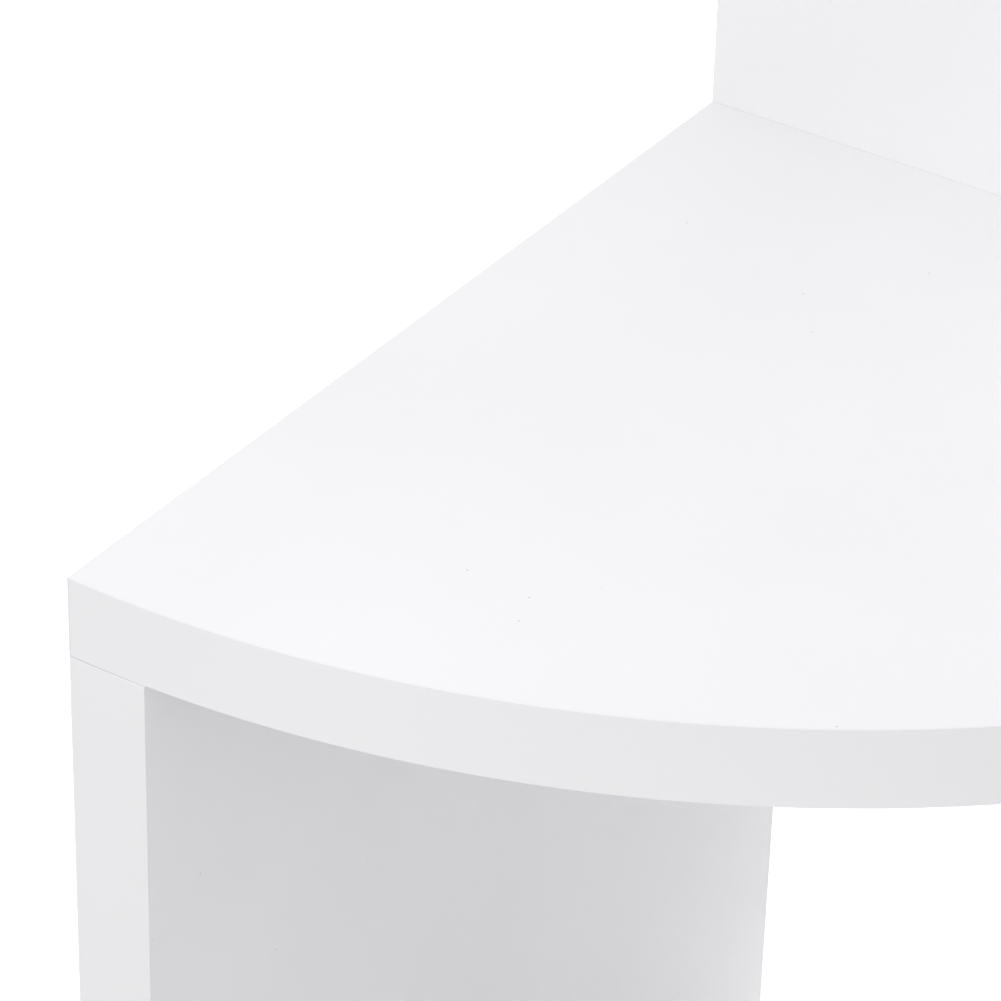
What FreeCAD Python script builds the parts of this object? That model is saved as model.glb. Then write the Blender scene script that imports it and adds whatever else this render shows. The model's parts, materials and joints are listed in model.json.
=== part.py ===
import FreeCAD, Part
import math
import os
import re
import Sketcher

from FreeCAD import Placement, Rotation, Vector

# A corner desk of four thick hollow-core panels: a quarter-round desktop, a leg panel under its
# left edge, a shorter leg panel under the right end of its rear edge, and an upright back panel
# that stands on the desktop along the rear wall. Millimetres, +Z up. The origin lies on the floor
# under the middle of the square that the desktop fills: the left wall is at -X, the rear wall +Y.

SIZES = {
    "desk_side": 700,           # length of the desktop along each wall
    "desk_height": 750,         # floor to the top of the desktop
    "arc_inset": 17,            # the front arc's centre stands in from both walls by this much
    "panel": 50,                # thickness of every panel
    "skin": 3,                  # hardboard face sheet
    "band": 1,                  # plastic edge band
    "back_height": 250,         # the back panel above the desktop
    "end_reveal": 1,            # right ends of the back panel and right leg, in from the arc's tip
    "right_leg_width": 400,
    "rail": 60,                 # particleboard rail that takes dowels, cams and feet
    "stile": 40,                # particleboard rail that only closes an edge
    "core_cell": 44,            # expanded paper cell, across its flats
    "core_wall": 1.2,           # two glued plies of core paper
    "dowel_radius": 4,
    "dowel_length": 35,
    "dowel_inset": 50,          # first dowel from the end of a joint
    "dowel_step": 60,           # inner dowels from the middle of a joint
    "bolt_radius": 3,
    "bolt_grip": 11,            # thread of the cam bolt in the desktop
    "bolt_reach": 34,           # from the joint to the middle of the cam
    "bolt_setback": 9.5,        # cam bolt's axis behind the face that the cam is set in
    "bolt_inset": 90,           # first cam bolt from the end of a joint
    "cam_radius": 7.5,
    "cam_depth": 15,            # bottom of the cam's pocket below the panel's face
    "cap_thickness": 1.5,       # plastic cap, flush with the face over the cam
    "drill_clearance": 0.1,     # round every dowel, bolt, cam, cap and insert
    "foot_gap": 10,             # floor to the underside of the leg panels, feet screwed in
    "foot_inset": 60,           # foot from the end of its leg panel
    "foot_radius": 13,
    "foot_height": 9.5,
    "foot_chamfer": 1.5,
    "foot_socket": 4,           # how deep the stud is moulded into the foot
    "stud_radius": 4,
    "stud_length": 42,
    "stud_headroom": 3,         # drilling above the end of the stud
    "thread_clearance": 0.1,
    "insert_radius": 6.5,
    "insert_length": 20,
}

AXES = {"x": Vector(1, 0, 0), "y": Vector(0, 1, 0), "z": Vector(0, 0, 1)}
HALF_SIDE = "desk_side / 2"
LEFT, RIGHT, FRONT, REAR = "-" + HALF_SIDE, HALF_SIDE, "-" + HALF_SIDE, HALF_SIDE
ARC_RADIUS = "sqrt(arc_inset ^ 2 + (desk_side - arc_inset) ^ 2)"
DESK_UNDERSIDE = "desk_height - panel"
LEG_INNER = f"{LEFT} + panel"
BACK_FRONT = f"{REAR} - panel"
BACK_END = f"{RIGHT} - end_reveal"
RIGHT_LEG_START = f"{BACK_END} - right_leg_width"

doc = FreeCAD.newDocument("corner_desk")
sheet = doc.addObject("Spreadsheet::Sheet", "Sizes")
for row, (alias, number) in enumerate(SIZES.items(), start=1):
    sheet.set(f"A{row}", alias)
    sheet.set(f"B{row}", str(number))
    sheet.setAlias(f"B{row}", alias)
doc.recompute()

parts = []


def expression(text):
    """The same formula with each size's name pointed at its cell of the sheet."""
    return re.sub(r"[a-z_]+", lambda w: "Sizes." + w[0] if w[0] in SIZES else w[0], text)


def bind(piece, name, formula):
    piece.setExpression(name, expression(formula))


def keep(piece, label):
    """Name a finished sub-part; its file takes the same name."""
    piece.Label = label
    parts.append(piece)
    return piece


def place(piece, corner):
    for axis, formula in zip("xyz", corner):
        bind(piece, "Placement.Base." + axis, formula)


def box(low, high):
    """A box between its lowest and highest corners, each given as three formulas."""
    piece = doc.addObject("Part::Box", "Box")
    for side, a, b in zip(("Length", "Width", "Height"), low, high):
        bind(piece, side, f"({b}) - ({a})")
    place(piece, low)
    return piece


def rod(start, direction, length, radius):
    """A round bar from its start, along a direction such as '+z' or '-x'."""
    piece = doc.addObject("Part::Cylinder", "Rod")
    axis = AXES[direction[1]] * (1 if direction[0] == "+" else -1)
    piece.Placement = Placement(Vector(), Rotation(AXES["z"], axis))
    bind(piece, "Radius", radius)
    bind(piece, "Height", length)
    place(piece, start)
    return piece


def group(pieces):
    """Separate solids that share one sub-part."""
    piece = doc.addObject("Part::Compound", "Group")
    piece.Links = pieces
    return piece


def cut(base, tool):
    piece = doc.addObject("Part::Cut", "Cut")
    piece.Base = base
    piece.Tool = tool
    return piece


def common(base, tool):
    piece = doc.addObject("Part::Common", "Common")
    piece.Base = base
    piece.Tool = tool
    return piece


def disc(low_z, high_z, arc_margin):
    """The full round that the desktop's front is cut to, less a margin all round."""
    centre = (f"{LEFT} + arc_inset", f"{REAR} - arc_inset", low_z)
    return rod(centre, "+z", f"({high_z}) - ({low_z})", f"{ARC_RADIUS} - ({arc_margin})")


def quarter(low_z, high_z, wall_margin, arc_margin):
    """A slice of the desktop's shape, in from the two walls and from the arc."""
    low = (f"{LEFT} + {wall_margin}", FRONT, low_z)
    high = (RIGHT, f"{REAR} - ({wall_margin})", high_z)
    return common(box(low, high), disc(low_z, high_z, arc_margin))


# ---- Paper core -----------------------------------------------------------------------------

def hexagon(centre, across, u, v):
    corner = across / math.sqrt(3)
    turns = [math.radians(60 * k + 30) for k in range(7)]
    points = [centre + u * (corner * math.cos(t)) + v * (corner * math.sin(t)) for t in turns]
    return Part.Face(Part.makePolygon(points))


def cell_centres(face, u, v, pitch):
    """Centres of a hexagonal grid that covers the face, starting from its middle."""
    middle = face.BoundBox.Center
    reach = face.BoundBox.DiagonalLength / 2 + pitch
    rows = int(reach / (pitch * math.sqrt(3) / 2)) + 1
    columns = int(reach / pitch) + 1
    for row in range(-rows, rows + 1):
        for column in range(-columns, columns + 1):
            across = pitch * (column + 0.5 * (row % 2))
            yield middle + u * across + v * (pitch * row * math.sqrt(3) / 2)


def honeycomb(cavity, direction):
    """Expanded paper comb that fills a panel's cavity, its cells square to the skins."""
    axis = AXES[direction]
    u, v = [AXES[name] for name in "xyz" if name != direction]
    floor = [f for f in cavity.Shape.Faces if f.normalAt(0, 0).dot(axis) < -0.99][0]
    pitch = sheet.core_cell + sheet.core_wall
    bounds = floor.BoundBox
    bounds.enlarge(sheet.core_cell / 2)
    cells = [hexagon(c, sheet.core_cell, u, v)
             for c in cell_centres(floor, u, v, pitch) if bounds.isInside(c)]
    thickness = sheet.panel - 2 * sheet.skin
    core = doc.addObject("Part::Feature", "Core")
    core.Shape = floor.cut(cells).extrude(axis * thickness)
    return core


# ---- Fasteners ------------------------------------------------------------------------------
# Every joint is the same: dowels on the panel's middle plane, and cam bolts that stand in the
# desktop and are drawn up by cams set in one face of the upright panel.

def along(start, run, distance):
    """A point moved along one axis from a joint's start."""
    return tuple(f"{a} + {distance}" if name == run else a for name, a in zip("xyz", start))


def joint_pieces(joint, radial_margin):
    """The dowels, bolts, cams and caps of one joint, or their drillings if given a margin."""
    run, length, up, inward = joint["run"], joint["length"], joint["up"], joint["inward"]
    down = ("-" if up == "+" else "+") + "z"
    grow = f" + {radial_margin}"
    dowel_places = ["dowel_inset", f"{length} - dowel_inset",
                    f"({length}) / 2 - dowel_step", f"({length}) / 2 + dowel_step"]
    bolt_places = ["bolt_inset", f"{length} - bolt_inset", f"({length}) / 2"]
    dowels, bolts, cams, caps = [], [], [], []
    for distance in dowel_places:
        x, y, z = along(joint["middle"], run, distance)
        end = (x, y, f"{z} {up} dowel_length / 2")
        dowels.append(rod(end, down, "dowel_length", "dowel_radius" + grow))
    for distance in bolt_places:
        x, y, z = along(joint["face"], run, distance)
        back = f"{inward[0]} bolt_setback"
        deep = f"{inward[0]} cap_thickness"
        cam_z = f"{z} {'-' if up == '+' else '+'} bolt_reach"
        bolt_at = (f"{x} {back}", y) if inward[1] == "x" else (x, f"{y} {back}")
        cam_at = (f"{x} {deep}", y) if inward[1] == "x" else (x, f"{y} {deep}")
        top = (*bolt_at, f"{z} {up} bolt_grip")
        bolts.append(rod(top, down, "bolt_grip + bolt_reach", "bolt_radius" + grow))
        cams.append(rod((*cam_at, cam_z), inward, "cam_depth - cap_thickness", "cam_radius" + grow))
        caps.append(rod((x, y, cam_z), inward, "cap_thickness", "cam_radius" + grow))
    return {"dowels": dowels, "bolts": bolts, "cams": cams, "caps": caps}


joints = {
    "left_leg": {
        "run": "y", "length": "desk_side", "up": "+", "inward": "-x",
        "middle": (f"{LEFT} + panel / 2", FRONT, DESK_UNDERSIDE),
        "face": (LEG_INNER, FRONT, DESK_UNDERSIDE),
    },
    "right_leg": {
        "run": "x", "length": "right_leg_width", "up": "+", "inward": "+y",
        "middle": (RIGHT_LEG_START, f"{REAR} - panel / 2", DESK_UNDERSIDE),
        "face": (RIGHT_LEG_START, BACK_FRONT, DESK_UNDERSIDE),
    },
    "back_panel": {
        "run": "x", "length": "desk_side - end_reveal", "up": "-", "inward": "-y",
        "middle": (LEFT, f"{REAR} - panel / 2", "desk_height"),
        "face": (LEFT, REAR, "desk_height"),
    },
}
hardware = {name: joint_pieces(joint, "0") for name, joint in joints.items()}
drillings = {name: joint_pieces(joint, "drill_clearance") for name, joint in joints.items()}


def drilled(piece, names):
    """Cut the drillings of the named joints out of a piece."""
    tools = [tool for name in names for kind in drillings[name].values() for tool in kind]
    return cut(piece, group(tools))


def all_of(kind, source):
    return [piece for pieces in source.values() for piece in pieces[kind]]


keep(group(all_of("dowels", hardware)), "joint_dowels")
keep(group(all_of("bolts", hardware)), "cam_bolts")
keep(cut(group(all_of("cams", hardware)), group(all_of("bolts", drillings))), "cam_housings")
keep(group(all_of("caps", hardware)), "cam_caps")


# ---- Levelling feet -------------------------------------------------------------------------

feet = {
    "left_front": (f"{LEFT} + panel / 2", f"{FRONT} + foot_inset"),
    "left_rear": (f"{LEFT} + panel / 2", f"{REAR} - foot_inset"),
    "right_inner": (f"{RIGHT_LEG_START} + foot_inset", f"{REAR} - panel / 2"),
    "right_outer": (f"{BACK_END} - foot_inset", f"{REAR} - panel / 2"),
}
PAD_PROFILE = [
    ("0", "0"),
    ("foot_radius - foot_chamfer", "0"),
    ("foot_radius", "foot_chamfer"),
    ("foot_radius", "foot_height"),
    ("stud_radius", "foot_height"),
    ("stud_radius", "foot_height - foot_socket"),
    ("0", "foot_height - foot_socket"),
]
ORIGIN_POINT, X_LINE, Y_LINE = (-1, 1), -1, -2


def polygon_sketch(body, plane_role, corners):
    """A closed outline whose corners are held by formulas, measured from the body's origin."""
    sketch = body.newObject("Sketcher::SketchObject", "Outline")
    plane = [f for f in body.Origin.OriginFeatures if f.Role == plane_role][0]
    sketch.AttachmentSupport = [(plane, "")]
    sketch.MapMode = "FlatFace"
    count = len(corners)
    for k in range(count):
        here, there = Vector(k, k * k + 1, 0), Vector(k + 1, (k + 1) ** 2 + 1, 0)
        sketch.addGeometry(Part.LineSegment(here, there))
    for k in range(count):
        sketch.addConstraint(Sketcher.Constraint("Coincident", k, 2, (k + 1) % count, 1))
    for k, (across, height) in enumerate(corners):
        hold(sketch, k, "DistanceX", Y_LINE, across)
        hold(sketch, k, "DistanceY", X_LINE, height)
    return sketch


def hold(sketch, corner, kind, zero_line, formula):
    if formula == "0":
        sketch.addConstraint(Sketcher.Constraint("PointOnObject", corner, 1, zero_line))
        return
    start = corner + 1.0
    number = sketch.addConstraint(Sketcher.Constraint(kind, *ORIGIN_POINT, corner, 1, start))
    bind(sketch, f"Constraints[{number}]", formula)


def foot_pad(spot):
    """Turned foot with a chamfered rim and a socket for its stud."""
    body = doc.addObject("PartDesign::Body", "FootPad")
    sketch = polygon_sketch(body, "XZ_Plane", PAD_PROFILE)
    turned = body.newObject("PartDesign::Revolution", "Turned")
    turned.Profile = sketch
    turned.ReferenceAxis = (sketch, ["V_Axis"])
    turned.Angle = 360
    place(body, (*spot, "0"))
    return body


inserts, insert_drillings, stud_drillings = [], [], []
for name, spot in feet.items():
    keep(foot_pad(spot), f"foot_pad_{name}")
    stud_start = (*spot, "foot_height - foot_socket")
    keep(rod(stud_start, "+z", "stud_length", "stud_radius"), f"foot_stud_{name}")
    base = (*spot, "foot_gap")
    sleeve = rod(base, "+z", "insert_length", "insert_radius")
    bore = rod(base, "+z", "insert_length", "stud_radius + thread_clearance")
    inserts.append(cut(sleeve, bore))
    insert_drillings.append(rod(base, "+z", "insert_length", "insert_radius + drill_clearance"))
    stud_drillings.append(rod(base, "+z", "stud_length + foot_height - foot_socket - foot_gap"
                              " + stud_headroom", "stud_radius + 5 * thread_clearance"))
keep(group(inserts), "foot_inserts")
foot_drilling = group(insert_drillings + stud_drillings)


# ---- Desktop --------------------------------------------------------------------------------
# Skins and rails stop at the edge bands, which cover the panel's full thickness.

def desktop():
    low, high = DESK_UNDERSIDE, "desk_height"
    core_low, core_high = f"{low} + skin", f"{high} - skin"
    keep(drilled(quarter(core_high, high, "band", "band"), ["back_panel"]), "desktop_top_skin")
    keep(drilled(quarter(low, core_low, "band", "band"), ["left_leg", "right_leg"]),
         "desktop_bottom_skin")
    inner_x, inner_y = f"{LEFT} + band + rail", f"{REAR} - band - rail"
    left_rail = box((f"{LEFT} + band", FRONT, core_low), (inner_x, f"{REAR} - band", core_high))
    rear_rail = box((inner_x, inner_y, core_low), (RIGHT, f"{REAR} - band", core_high))
    rails = [common(rail, disc(core_low, core_high, "band")) for rail in (left_rail, rear_rail)]
    rails.append(cut(quarter(core_low, core_high, "band + rail", "band"),
                     disc(core_low, core_high, "band + stile")))
    keep(drilled(group(rails), list(joints)), "desktop_frame")
    left_band = box((LEFT, FRONT, low), (f"{LEFT} + band", REAR, high))
    rear_band = box((f"{LEFT} + band", f"{REAR} - band", low), (RIGHT, REAR, high))
    keep(common(left_band, disc(low, high, "0")), "desktop_left_band")
    keep(common(rear_band, disc(low, high, "0")), "desktop_rear_band")
    keep(cut(quarter(low, high, "band", "0"), disc(low, high, "band")), "desktop_front_band")
    return quarter(core_low, core_high, "band + rail", "band + stile")


# ---- Upright panels -------------------------------------------------------------------------

def upright(name, low, high, across, joint, skins, bands, feet_tool=None):
    """A rectangular panel: two skins, four rails and a cavity, behind its edge bands.

    across is the axis of its thickness, and bands lists its banded edges as (axis, end)."""
    run = "x" if across == "y" else "y"
    t, r = "xyz".index(across), "xyz".index(run)
    inner_low, inner_high = list(low), list(high)
    for axis, end, label in bands:
        k = "xyz".index(axis)
        a, b = list(inner_low), list(inner_high)
        if end == "low":
            b[k] = inner_low[k] = f"{a[k]} + band"
        else:
            a[k] = inner_high[k] = f"{b[k]} - band"
        keep(box(a, b), f"{name}_{label}_band")
    skin_low, skin_high = f"{low[t]} + skin", f"{high[t]} - skin"
    for label, a_t, b_t in ((skins[0], low[t], skin_low), (skins[1], skin_high, high[t])):
        a, b = list(inner_low), list(inner_high)
        a[t], b[t] = a_t, b_t
        keep(drilled(box(a, b), [joint]), f"{name}_{label}_skin")
    inner_low[t], inner_high[t] = skin_low, skin_high
    rails, cavity = rails_and_cavity(inner_low, inner_high, r)
    frame = drilled(rails, [joint])
    keep(cut(frame, feet_tool) if feet_tool else frame, f"{name}_frame")
    return cavity


def rails_and_cavity(low, high, r):
    """Bottom and top rails, the two stiles between them, and the space left for the core."""
    rail_low, rail_high = f"{low[2]} + rail", f"{high[2]} - rail"
    stile_low, stile_high = f"{low[r]} + stile", f"{high[r]} - stile"

    def piece(run_low, run_high, z_low, z_high):
        a, b = list(low), list(high)
        a[r], b[r], a[2], b[2] = run_low, run_high, z_low, z_high
        return box(a, b)

    rails = group([
        piece(low[r], high[r], low[2], rail_low),
        piece(low[r], high[r], rail_high, high[2]),
        piece(low[r], stile_low, rail_low, rail_high),
        piece(stile_high, high[r], rail_low, rail_high),
    ])
    return rails, piece(stile_low, stile_high, rail_low, rail_high)


cavities = {"desktop": (desktop(), "z")}
cavities["left_leg"] = (upright(
    "left_leg", (LEFT, FRONT, "foot_gap"), (LEG_INNER, REAR, DESK_UNDERSIDE),
    "x", "left_leg", ("outer", "inner"),
    [("y", "low", "front"), ("y", "high", "rear")], foot_drilling), "x")
cavities["right_leg"] = (upright(
    "right_leg", (RIGHT_LEG_START, BACK_FRONT, "foot_gap"), (BACK_END, REAR, DESK_UNDERSIDE),
    "y", "right_leg", ("front", "rear"),
    [("x", "low", "left"), ("x", "high", "right")], foot_drilling), "y")
cavities["back_panel"] = (upright(
    "back_panel", (LEFT, BACK_FRONT, "desk_height"),
    (BACK_END, REAR, "desk_height + back_height"),
    "y", "back_panel", ("front", "rear"),
    [("z", "high", "top"), ("x", "low", "left"), ("x", "high", "right")]), "y")
doc.recompute()
for name, (cavity, direction) in cavities.items():
    keep(honeycomb(cavity, direction), f"{name}_core")


# ---- Check and write ------------------------------------------------------------------------

doc.recompute()
for thing in doc.Objects:
    if "Invalid" in thing.State or "Error" in thing.State:
        raise RuntimeError(f"{thing.Label} failed: {thing.State}")
os.makedirs("parts", exist_ok=True)
for piece in parts:
    if piece.Shape.isNull() or not piece.Shape.isValid():
        raise RuntimeError(f"{piece.Label} has no valid shape")
for piece in parts:
    piece.Shape.exportStep(f"parts/{piece.Label}.step")
print(len(parts), "sub-parts written")
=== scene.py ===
import json
import math

import bmesh
import bpy
from mathutils import Matrix, Vector

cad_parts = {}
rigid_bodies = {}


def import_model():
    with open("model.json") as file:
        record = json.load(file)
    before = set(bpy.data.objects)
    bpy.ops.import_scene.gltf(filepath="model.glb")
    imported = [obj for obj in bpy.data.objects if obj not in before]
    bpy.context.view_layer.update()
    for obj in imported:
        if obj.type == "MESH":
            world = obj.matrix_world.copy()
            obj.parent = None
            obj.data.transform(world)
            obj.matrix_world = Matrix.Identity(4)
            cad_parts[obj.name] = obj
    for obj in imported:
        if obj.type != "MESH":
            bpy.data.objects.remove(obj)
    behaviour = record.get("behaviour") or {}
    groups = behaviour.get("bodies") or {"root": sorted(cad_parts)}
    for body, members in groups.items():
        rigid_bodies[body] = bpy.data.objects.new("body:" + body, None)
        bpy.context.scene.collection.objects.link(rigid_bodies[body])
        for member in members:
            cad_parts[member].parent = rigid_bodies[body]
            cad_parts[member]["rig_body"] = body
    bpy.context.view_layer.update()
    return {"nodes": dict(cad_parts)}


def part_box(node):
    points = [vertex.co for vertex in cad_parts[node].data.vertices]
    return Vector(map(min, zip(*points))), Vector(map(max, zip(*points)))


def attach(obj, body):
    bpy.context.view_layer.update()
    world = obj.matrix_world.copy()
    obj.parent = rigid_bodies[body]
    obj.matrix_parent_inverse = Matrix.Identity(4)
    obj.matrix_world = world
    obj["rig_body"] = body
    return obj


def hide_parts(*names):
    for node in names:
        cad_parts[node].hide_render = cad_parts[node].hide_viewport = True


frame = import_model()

scene = bpy.context.scene


# ---- Studio ---------------------------------------------------------------------------------
# A long lens looks down on the desk from its front right. The room is an even white one, with a
# soft key from the front left, two weak fills, and a wash that only the floor takes up.

CAMERA_AT = Vector((0.9749, -1.9914, 2.1723))
CAMERA_HEADING = math.radians(-32.728)      # from +Y towards +X
CAMERA_PITCH = math.radians(33.084)         # below the horizon
CAMERA_ROLL = math.radians(1.604)
FOCAL_IN_WIDTHS = 4.8113                    # focal length as a share of the picture's width
SENSOR = 36.0
FAR_ENOUGH = 200
ROOM_BRIGHTNESS = 0.96
FLOOR_SIDE = 60.0
FLOOR_TONE = 0.65

camera_data = bpy.data.cameras.new("camera")
camera_data.sensor_width = SENSOR
camera_data.lens = FOCAL_IN_WIDTHS * SENSOR
camera_data.clip_end = FAR_ENOUGH
camera = bpy.data.objects.new("camera", camera_data)
scene.collection.objects.link(camera)
turn = (Matrix.Rotation(-CAMERA_HEADING, 4, "Z")
        @ Matrix.Rotation(math.radians(90) - CAMERA_PITCH, 4, "X")
        @ Matrix.Rotation(CAMERA_ROLL, 4, "Z"))
camera.matrix_world = Matrix.Translation(CAMERA_AT) @ turn
scene.camera = camera
scene.view_settings.view_transform = "Standard"

world = bpy.data.worlds.new("white_room")
world.use_nodes = True
walls = world.node_tree.nodes["Background"]
walls.inputs["Color"].default_value = (1.0, 1.0, 1.0, 1)
walls.inputs["Strength"].default_value = ROOM_BRIGHTNESS
scene.world = world

floor_mesh = bpy.data.meshes.new("floor")
bm = bmesh.new()
bmesh.ops.create_grid(bm, x_segments=1, y_segments=1, size=FLOOR_SIDE / 2)
bm.to_mesh(floor_mesh)
bm.free()
floor = bpy.data.objects.new("floor", floor_mesh)
scene.collection.objects.link(floor)
floor_finish = bpy.data.materials.new("pale_floor")
floor_finish.use_nodes = True
floor_shader = floor_finish.node_tree.nodes["Principled BSDF"]
floor_shader.inputs["Base Color"].default_value = (FLOOR_TONE, FLOOR_TONE, FLOOR_TONE, 1)
floor_shader.inputs["Roughness"].default_value = 0.8
floor_mesh.materials.append(floor_finish)


def softbox(name, at, aim, width, depth, watts, spread, turned=0.0, only=None):
    """An area lamp that no camera sees. only names the one object that it lights, if any."""
    lamp = bpy.data.lights.new(name, "AREA")
    lamp.shape = "RECTANGLE"
    lamp.size, lamp.size_y = width, depth
    lamp.energy = watts
    lamp.spread = math.radians(spread)
    made = bpy.data.objects.new(name, lamp)
    scene.collection.objects.link(made)
    made.visible_camera = False
    made.matrix_world = (Matrix.Translation(at)
                         @ (Vector(aim) - Vector(at)).to_track_quat("-Z", "Y").to_matrix().to_4x4()
                         @ Matrix.Rotation(math.radians(turned), 4, "Z"))
    if only:
        lit = bpy.data.collections.new(name + "_lights")
        lit.objects.link(only)
        made.light_linking.receiver_collection = lit


softbox("key", at=(-0.5, -2.6, 3.0), aim=(0, 0, 0.6), width=1.8, depth=1.8, watts=26, spread=160)
softbox("fill_back_panel", at=(0.5, -0.35, 1.55), aim=(0.3, 0.32, 0.86), width=0.3, depth=0.3,
        watts=0.26, spread=50)
softbox("fill_under", at=(1.5, -0.75, 0.4), aim=(-0.3, -0.2, 0.62), width=0.4, depth=0.3,
        watts=0.09, spread=32)
softbox("floor_wash", at=(-0.98, 0.9, 0.9), aim=(-0.98, 0.9, 0), width=1.0, depth=2.2,
        watts=17, spread=100, turned=38, only=floor)


# ---- Frames and cores inside the panels -----------------------------------------------------
# Particleboard rails, and expanded kraft paper between them, which the faces are glued over. Only
# the legs' bottom rails show.

class Wire:
    """One socket of a finish's node tree; sums written on it add the Math nodes they need."""

    def __init__(self, tree, socket=None):
        self.tree, self.socket = tree, socket

    def node(self, kind, settings=None, inputs=None, output=0):
        made = self.tree.nodes.new("ShaderNode" + kind)
        for name, value in (settings or {}).items():
            if name == "stops":
                while len(made.color_ramp.elements) < len(value):
                    made.color_ramp.elements.new(0.5)
                for stop, (place, shade) in zip(made.color_ramp.elements, value):
                    stop.position, stop.color = place, (shade, shade, shade, 1)
            else:
                setattr(made, name, value)
        for key, value in (inputs or {}).items():
            if isinstance(value, Wire):
                self.tree.links.new(value.socket, made.inputs[key])
            else:
                made.inputs[key].default_value = value
        return Wire(self.tree, made.outputs[output])

    def math(self, operation, first, second):
        return self.node("Math", {"operation": operation}, {0: first, 1: second})

    def __add__(self, other):
        return self.math("ADD", self, other)

    __radd__ = __add__

    def __sub__(self, other):
        return self.math("SUBTRACT", self, other)

    def __rsub__(self, other):
        return self.math("SUBTRACT", other, self)

    def __mul__(self, other):
        return self.math("MULTIPLY", self, other)

    __rmul__ = __mul__

    def ramp(self, *stops):
        return self.node("ValToRGB", {"stops": stops}, {"Fac": self})

    def noise(self, scale, detail=2.0, roughness=0.5, stretch=(1, 1, 1)):
        where = self.node("Mapping", None, {"Vector": self, "Scale": stretch})
        return where.node("TexNoise", None, {"Vector": where, "Scale": scale,
                                             "Detail": detail, "Roughness": roughness})

    def cells(self, scale, stretch=(1, 1, 1)):
        where = self.node("Mapping", None, {"Vector": self, "Scale": stretch})
        return where.node("TexVoronoi", {"feature": "F1"}, {"Vector": where, "Scale": scale})

    def blend(self, low, high):
        """A colour between two, by this value. Either may be a wire that carries a colour."""
        ends = [end if isinstance(end, Wire) else (*end, 1) for end in (low, high)]
        return self.node("Mix", {"data_type": "RGBA"}, {0: self, 6: ends[0], 7: ends[1]}, output=2)

    def bump(self, strength, depth):
        return self.node("Bump", None, {"Height": self, "Strength": strength, "Distance": depth})


def new_finish(name, **constants):
    """A material with its shader's fixed values set, and the wire of its Object coordinates."""
    made = bpy.data.materials.new(name)
    made.use_nodes = True
    shader = made.node_tree.nodes["Principled BSDF"]
    for key, value in constants.items():
        shader.inputs[key.title()].default_value = value
    place = Wire(made.node_tree).node("TexCoord", output="Object")
    return made, shader, place


def join(wire, shader, socket):
    wire.tree.links.new(wire.socket, shader.inputs[socket])


def particleboard():
    made, shader, place = new_finish("particleboard")
    chips = place.cells(scale=330.0, stretch=(1, 0.35, 1.4))
    fines = place.noise(scale=900.0, detail=3.0, roughness=0.7)
    tone = 0.7 * chips + 0.5 * fines
    join(tone.blend(low=(0.36, 0.28, 0.19), high=(0.62, 0.52, 0.39)), shader, "Base Color")
    join(0.75 + 0.2 * fines, shader, "Roughness")
    join((chips + fines).bump(strength=0.6, depth=0.0006), shader, "Normal")
    return made


def kraft_paper():
    made, shader, place = new_finish("kraft_paper")
    fibres = place.noise(scale=350.0, detail=4.0, roughness=0.7, stretch=(1, 1, 6))
    cloud = place.noise(scale=25.0)
    tone = 0.6 * fibres + 0.4 * cloud
    join(tone.blend(low=(0.42, 0.29, 0.17), high=(0.64, 0.49, 0.32)), shader, "Base Color")
    join(0.8 + 0.15 * fibres, shader, "Roughness")
    join(fibres.bump(strength=0.3, depth=0.0002), shader, "Normal")
    return made


nodes = frame["nodes"]


def coat(node, finish):
    """Give a CAD node its finish, with its shape left as it is."""
    for slot in nodes[node].material_slots:
        slot.material = finish


rail_board = particleboard()
core_paper = kraft_paper()
for panel in ("desktop", "left_leg", "right_leg", "back_panel"):
    coat(f"{panel}_frame", rail_board)
    coat(f"{panel}_core", core_paper)


# ---- Desktop: faces -------------------------------------------------------------------------
# Two hardboard sheets, cut to the quarter round, glued over the frame and rolled with a satin
# white lacquer. The roller leaves a fine orange peel, and the odd fibre or speck shows in it.

SPECK_GREY = (0.33, 0.32, 0.31)
ARC_INSET = 0.017                           # the arc's centre from both walls
ARC_STEPS = 180
SHARP = math.radians(10)

band_low, band_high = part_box("desktop_left_band")
BAND = band_high.x - band_low.x             # the edge bands' thickness
side = band_high.y - band_low.y
arc_centre = Vector((band_low.x + ARC_INSET, band_high.y - ARC_INSET, 0))
arc_radius = side - ARC_INSET               # just reaches the faces of the square it is cut from


def lacquer(name, clean, tired, rough_low, rough_high, peel, dusty):
    made, shader, place = new_finish(name)
    cloud = place.noise(scale=4.5, detail=3.0)
    specks = place.noise(scale=420.0, detail=1.0).ramp((0.0, 0), (0.735, 0), (0.78, 1))
    fibres = place.noise(scale=190.0, roughness=0.6, stretch=(1, 5, 5))
    fibres = fibres.ramp((0.0, 0), (0.70, 0), (0.80, 1))
    marks = 0.35 * specks + 0.25 * fibres
    tone = 0.8 * cloud + marks
    dust = dusty * place.cells(scale=32.0).ramp((0.0, 1), (0.012, 1), (0.026, 0))
    join(dust.blend(low=tone.blend(low=clean, high=tired), high=SPECK_GREY), shader, "Base Color")
    rub = place.noise(scale=30.0, detail=4.0, roughness=0.6)
    join(rough_low + (rough_high - rough_low) * (0.5 * cloud + 0.5 * rub), shader, "Roughness")
    relief = place.noise(scale=620.0) + 0.6 * place.noise(scale=210.0, detail=1.0) - 0.5 * specks
    join(relief.bump(strength=peel, depth=0.00012), shader, "Normal")
    return made


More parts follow.
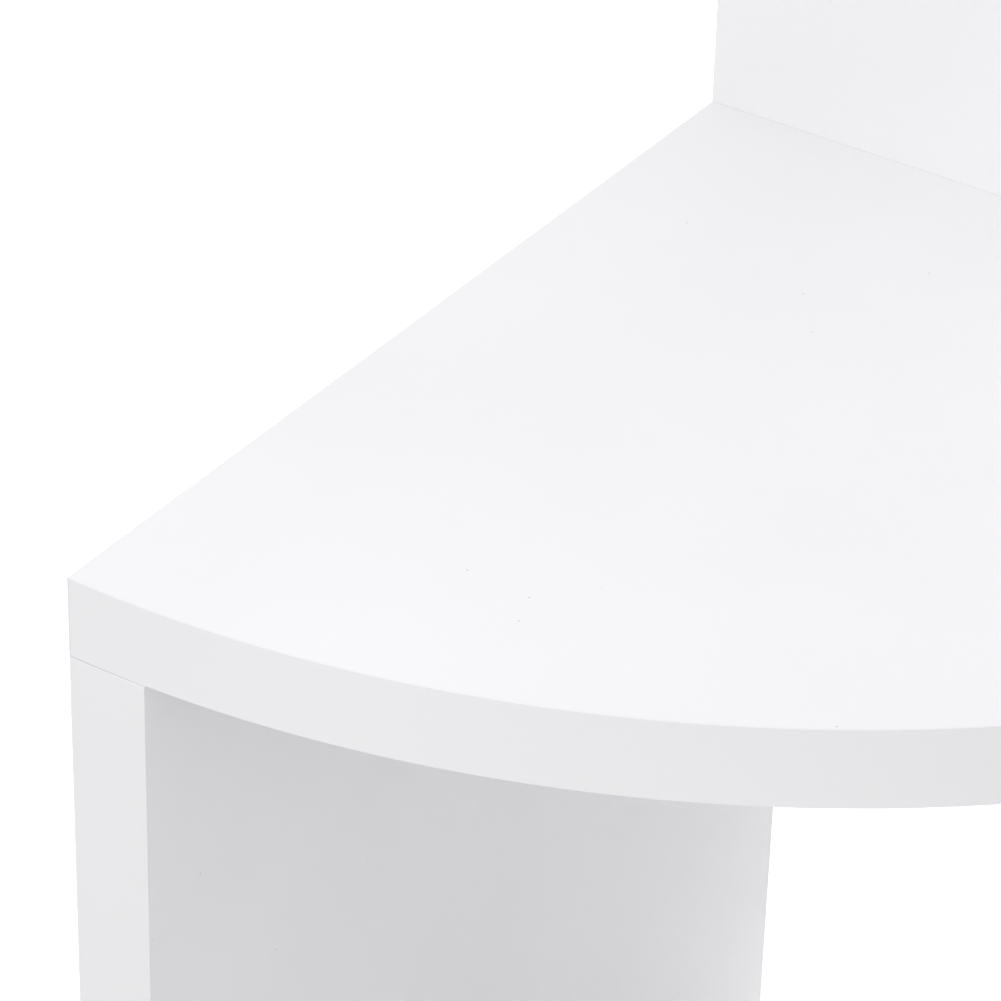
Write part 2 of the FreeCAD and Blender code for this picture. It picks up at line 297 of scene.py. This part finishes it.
def finish_piece(bm, name, node, finish, sharp=SHARP):
    """Make the shaped piece an object that stands for its node and rides where the node rides."""
    bmesh.ops.recalc_face_normals(bm, faces=bm.faces)
    mesh = bpy.data.meshes.new(name)
    bm.to_mesh(mesh)
    bm.free()
    mesh.polygons.foreach_set("use_smooth", [True] * len(mesh.polygons))
    mesh.set_sharp_from_angle(angle=sharp)
    mesh.materials.append(finish)
    piece = bpy.data.objects.new(name, mesh)
    scene.collection.objects.link(piece)
    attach(piece, nodes[node]["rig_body"])
    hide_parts(node)


def arc_ends(radius, inset):
    """Angles where a circle round the arc's centre meets lines just inside the two walls."""
    short = (ARC_INSET - inset) / radius
    return -math.pi / 2 - math.asin(short), math.asin(short)


def raise_faces(bm, faces, by):
    """Pull the faces straight up, with new sides under them."""
    raised = bmesh.ops.extrude_face_region(bm, geom=faces)
    lifted = [v for v in raised["geom"] if isinstance(v, bmesh.types.BMVert)]
    bmesh.ops.translate(bm, vec=(0, 0, by), verts=lifted)


def quarter_sheet(low_z, high_z):
    bm = bmesh.new()
    radius = arc_radius - BAND
    start, end = arc_ends(radius, BAND)
    first = arc_centre + radius * Vector((math.cos(start), math.sin(start), 0))
    first.z = low_z
    seed = bm.verts.new(first)
    bmesh.ops.spin(bm, geom=[seed], cent=arc_centre, axis=(0, 0, 1), angle=end - start,
                   steps=ARC_STEPS, use_merge=False, use_duplicate=False)
    rim = list(bm.verts)
    corner = bm.verts.new((band_low.x + BAND, band_high.y - BAND, low_z))
    raise_faces(bm, [bm.faces.new(rim + [corner])], high_z - low_z)
    return bm


skin_white = lacquer("white_lacquer", clean=(0.835, 0.835, 0.85), tired=(0.76, 0.76, 0.775),
                     rough_low=0.34, rough_high=0.46, peel=0.35, dusty=0.5)
for node, name in (("desktop_top_skin", "desktop_top"), ("desktop_bottom_skin", "desktop_underside")):
    low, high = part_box(node)
    finish_piece(quarter_sheet(low.z, high.z), name, node, skin_white)


# ---- Faces of the upright panels ------------------------------------------------------------
# Flat sheets with the same lacquer. Those that show at a seam have that edge eased, and the legs'
# stop in a fine groove under the desktop. The three that hold cam caps keep their drilled shape.

EASE = 0.0004
FINE_EASE = 0.00025
EASE_STEPS = 3
ABOUT_SAME = 0.99
GROOVE_TALL = 0.0008
GROOVE_DEPTH = 0.00095                      # all but through an edge band
DIRECTIONS = {"-x": Vector((-1, 0, 0)), "+x": Vector((1, 0, 0)), "-y": Vector((0, -1, 0)),
              "+y": Vector((0, 1, 0)), "-z": Vector((0, 0, -1)), "+z": Vector((0, 0, 1))}


def eased_box(low, high, eased, ease=EASE):
    """A square-cut strip or sheet. eased names pairs of faces whose shared edge is rounded."""
    bm = bmesh.new()
    bmesh.ops.create_cube(bm, size=1)
    bmesh.ops.scale(bm, vec=high - low, verts=bm.verts)
    bmesh.ops.translate(bm, vec=(low + high) / 2, verts=bm.verts)
    bm.normal_update()
    edges = []
    for edge in bm.edges:
        normals = [face.normal for face in edge.link_faces]
        for pair in eased:
            if all(any(n.dot(DIRECTIONS[d]) > ABOUT_SAME for n in normals) for d in pair):
                edges.append(edge)
    bmesh.ops.bevel(bm, geom=edges, offset=ease, offset_type="OFFSET", segments=EASE_STEPS,
                    profile=0.5, affect="EDGES", material=-1)
    return bm


def leg_piece(node, outward, eased):
    """A strip or sheet of a leg, rebated along its top so that a fine groove shows there."""
    low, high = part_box(node)
    high.z -= GROOVE_TALL
    bm = eased_box(low, high, eased)
    inward = -DIRECTIONS[outward]
    start = (low if outward[0] == "-" else high) + inward * GROOVE_DEPTH
    bmesh.ops.bisect_plane(bm, geom=bm.verts[:] + bm.edges[:] + bm.faces[:],
                           plane_co=start, plane_no=inward)
    bm.normal_update()
    behind = [face for face in bm.faces if face.normal.z > ABOUT_SAME
              and (face.calc_center_median() - start).dot(inward) > 0]
    raise_faces(bm, behind, GROOVE_TALL)
    return bm


eased_sheets = {
    "left_leg_outer": leg_piece("left_leg_outer_skin", "-x", [("-x", "+z"), ("-x", "-z")]),
    "right_leg_rear": leg_piece("right_leg_rear_skin", "+y", [("+y", "+z"), ("+y", "-z")]),
    "back_panel_front": eased_box(*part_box("back_panel_front_skin"), [("-y", "-z")], FINE_EASE),
}
for place, sheet in eased_sheets.items():
    finish_piece(sheet, f"{place}_face", f"{place}_skin", skin_white)
for node in ("left_leg_inner_skin", "right_leg_front_skin", "back_panel_rear_skin"):
    coat(node, skin_white)


# ---- Straight edge bands --------------------------------------------------------------------
# Strips of white plastic, 1 mm thick, glued round the cut edges of each panel and trimmed flush.
# Their outer corners are only just eased, so panels meet at a hairline groove.

STRAIGHT_BANDS = {                          # node: the way it faces, and faces it is flush with
    "desktop_left_band": ("-x", ()),
    "desktop_rear_band": ("+y", ("-x",)),
    "left_leg_front_band": ("-y", ()),
    "left_leg_rear_band": ("+y", ()),
    "right_leg_left_band": ("-x", ()),
    "right_leg_right_band": ("+x", ()),
    "back_panel_top_band": ("+z", ()),
    "back_panel_left_band": ("-x", ("+z",)),
    "back_panel_right_band": ("+x", ("+z",)),
}


def round_the_face(direction, but=()):
    """The edges round one face of a box, as pairs, without those shared with the faces in but."""
    axis = direction[1]
    return [(direction, d) for d in DIRECTIONS if d[1] != axis and d not in but]


# The bands' white is set darker than the faces' lacquer. This is painted shade for the upright edges,
# which take less light than the desktop's top.
band_white_painted_shade = lacquer("white_edge_band", clean=(0.79, 0.79, 0.803), tired=(0.74, 0.74, 0.752),
                     rough_low=0.30, rough_high=0.42, peel=0.22, dusty=0.0)
for node, (outward, flush) in STRAIGHT_BANDS.items():
    eased = round_the_face(outward, flush)
    if "leg" in node:
        strip = leg_piece(node, outward, eased)
    else:
        strip = eased_box(*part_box(node), eased)
    finish_piece(strip, node.replace("_band", "_edge"), node, band_white_painted_shade)


# ---- Desktop: curved front band -------------------------------------------------------------
# The same strip, bent round the quarter-round front. It starts behind the left band's end and
# runs to the rear wall.

def swept(section, start, end):
    """Carry an upright outline, given as (radius, height), round the arc's centre."""
    bm = bmesh.new()
    ahead = Vector((math.cos(start), math.sin(start), 0))
    corners = [bm.verts.new(arc_centre + ahead * radius + Vector((0, 0, z))) for radius, z in section]
    face = bm.faces.new(corners)
    bmesh.ops.spin(bm, geom=[face], cent=arc_centre, axis=(0, 0, 1), angle=end - start,
                   steps=ARC_STEPS, use_merge=False, use_duplicate=False)
    return bm


def rounded_corner(radius, z, up):
    """Points of an eased corner, from its side face to its top (up 1) or bottom (up -1) face."""
    turns = [math.radians(90 * k / EASE_STEPS) for k in range(EASE_STEPS + 1)]
    middle_radius, middle_z = radius - EASE, z - EASE * up
    return [(middle_radius + EASE * math.cos(t), middle_z + EASE * up * math.sin(t)) for t in turns]


under, over = band_low.z, band_high.z
outline = ([(arc_radius - BAND, over), (arc_radius - BAND, under)]
           + rounded_corner(arc_radius, under, -1)[::-1]
           + rounded_corner(arc_radius, over, 1))
front_band = swept(outline, *arc_ends(arc_radius, BAND))
finish_piece(front_band, "desktop_front_edge", "desktop_front_band", band_white_painted_shade)


# ---- Joint fittings -------------------------------------------------------------------------
# Beech dowels, plated cam bolts and sleeves, die-cast cams, and white caps pressed over the cams.

def beech():
    made, shader, place = new_finish("beech")
    grain = place.noise(scale=260.0, detail=3.0, roughness=0.6, stretch=(1, 1, 0.08))
    flecks = place.noise(scale=900.0, detail=1.0, stretch=(1, 1, 0.2))
    tone = grain + 0.4 * flecks.ramp((0.0, 0), (0.62, 0), (0.72, 1))
    join(tone.blend(low=(0.74, 0.56, 0.38), high=(0.50, 0.34, 0.21)), shader, "Base Color")
    join(0.55 + 0.2 * grain, shader, "Roughness")
    join(grain.bump(strength=0.3, depth=0.0002), shader, "Normal")
    return made


def bare_metal(name, bright, dull, rough_low, rough_high, grain_scale):
    made, shader, place = new_finish(name, metallic=1.0)
    grain = place.noise(scale=grain_scale, detail=3.0, roughness=0.6)
    cloud = place.noise(scale=140.0)
    join(cloud.blend(low=dull, high=bright), shader, "Base Color")
    join(rough_low + (rough_high - rough_low) * grain, shader, "Roughness")
    join(grain.bump(strength=0.2, depth=0.0001), shader, "Normal")
    return made


def moulded(name, light, dark, rough_low, rough_high):
    """Plastic from an eroded mould: a fine even grain."""
    made, shader, place = new_finish(name)
    grain = place.noise(scale=1500.0)
    cloud = place.noise(scale=60.0)
    join((0.6 * cloud + 0.4 * grain).blend(low=dark, high=light), shader, "Base Color")
    join(rough_low + (rough_high - rough_low) * grain, shader, "Roughness")
    join(grain.bump(strength=0.25, depth=0.00008), shader, "Normal")
    return made


zinc_plate = bare_metal("zinc_plate", bright=(0.72, 0.73, 0.74), dull=(0.60, 0.60, 0.58),
                        rough_low=0.22, rough_high=0.38, grain_scale=1200.0)
cast_zinc = bare_metal("cast_zinc", bright=(0.56, 0.56, 0.56), dull=(0.44, 0.44, 0.44),
                       rough_low=0.45, rough_high=0.60, grain_scale=900.0)
cap_white = moulded("cap_white", light=(0.82, 0.82, 0.83), dark=(0.74, 0.74, 0.75),
                    rough_low=0.40, rough_high=0.52)
coat("joint_dowels", beech())
coat("cam_bolts", zinc_plate)
coat("cam_housings", cast_zinc)
coat("cam_caps", cap_white)
coat("foot_inserts", zinc_plate)


# ---- Levelling feet -------------------------------------------------------------------------
# A grey moulded pad, turned by its flats, on a plated M8 stud whose thread runs in the sleeve.

SPIN_STEPS = 72
SMOOTH_UP_TO = math.radians(30)

SOLE_HOLLOW = 0.0004
DISC_TALL = 0.0052
COLLAR_START = 0.005                        # just inside the disc, so that the two are one piece
COLLAR_SHARE = 0.60                         # of the pad's radius, as the hollow's edge is too
COLLAR_SIDES = 6
COLLAR_EASE = 0.0004

THREAD_PITCH = 0.00125
THREAD_DEPTH = 0.0007
THREAD_FLANK = 0.46                         # half the ridge's foot, as a share of the pitch
THREAD_SUNK = 0.00015                       # its foot lies this far inside the stud's core
CREST_HALF = 0.00008
THREAD_START = 0.001
BARE_LENGTH = 0.003
END_BEVEL = 0.0008
STEPS_PER_TURN = 28

foot_grey = moulded("foot_grey", light=(0.17, 0.17, 0.18), dark=(0.10, 0.10, 0.105),
                    rough_low=0.50, rough_high=0.66)


def turned(profile, centre):
    """Spin an outline of (radius, height) points, whose ends are on the axis, into a solid."""
    bm = bmesh.new()
    points = [bm.verts.new(centre + Vector((radius, 0, z))) for radius, z in profile]
    edges = [bm.edges.new(pair) for pair in zip(points, points[1:])]
    bmesh.ops.spin(bm, geom=points + edges, cent=centre, axis=(0, 0, 1), angle=2 * math.pi,
                   steps=SPIN_STEPS, use_merge=True, use_duplicate=False)
    bmesh.ops.remove_doubles(bm, verts=bm.verts, dist=1e-6)
    return bm


def foot_pad(node):
    low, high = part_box(node)
    centre = Vector(((low.x + high.x) / 2, (low.y + high.y) / 2, low.z))
    rim, tall = (high.x - low.x) / 2, high.z - low.z
    hub = rim * COLLAR_SHARE
    bm = turned([(0, SOLE_HOLLOW), (rim * 0.55, SOLE_HOLLOW), (hub, 0), (rim - 0.0016, 0),
                 (rim - 0.0005, 0.0004), (rim, 0.0016), (rim, 0.0036), (rim - 0.0004, 0.0042),
                 (rim * 0.62, DISC_TALL), (0, DISC_TALL)], centre)
    collar_tall = tall - COLLAR_START
    collar = bmesh.ops.create_cone(bm, cap_ends=True, segments=COLLAR_SIDES, radius1=hub,
                                   radius2=hub, depth=collar_tall)
    lift = centre + Vector((0, 0, COLLAR_START + collar_tall / 2))
    bmesh.ops.translate(bm, vec=lift, verts=collar["verts"])
    edges = {edge for vert in collar["verts"] for edge in vert.link_edges}
    bmesh.ops.bevel(bm, geom=list(edges), offset=COLLAR_EASE, offset_type="OFFSET", segments=2,
                    profile=0.5, affect="EDGES", material=-1)
    return bm


def threaded_stud(node):
    low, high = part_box(node)
    axis = Vector(((low.x + high.x) / 2, (low.y + high.y) / 2, low.z))
    crest, tall = (high.x - low.x) / 2, high.z - low.z
    core = crest - THREAD_DEPTH
    bm = turned([(0, 0), (core, 0), (core, tall - END_BEVEL), (core - END_BEVEL, tall), (0, tall)],
                axis)
    turns = int((tall - BARE_LENGTH) / THREAD_PITCH)
    inside, half = core - THREAD_SUNK, THREAD_PITCH * THREAD_FLANK
    ridge = [(inside, -half), (crest, -CREST_HALF), (crest, CREST_HALF), (inside, half)]
    face = bm.faces.new([bm.verts.new(axis + Vector((r, 0, THREAD_START + z))) for r, z in ridge])
    bmesh.ops.spin(bm, geom=[face], cent=axis, axis=(0, 0, 1), angle=2 * math.pi * turns,
                   dvec=(0, 0, THREAD_PITCH / STEPS_PER_TURN), steps=turns * STEPS_PER_TURN,
                   use_merge=False, use_duplicate=False)
    return bm


for place in ("left_front", "left_rear", "right_inner", "right_outer"):
    pad, stud = f"foot_pad_{place}", f"foot_stud_{place}"
    finish_piece(foot_pad(pad), f"levelling_pad_{place}", pad, foot_grey, SMOOTH_UP_TO)
    finish_piece(threaded_stud(stud), f"threaded_stud_{place}", stud, zinc_plate, SMOOTH_UP_TO)
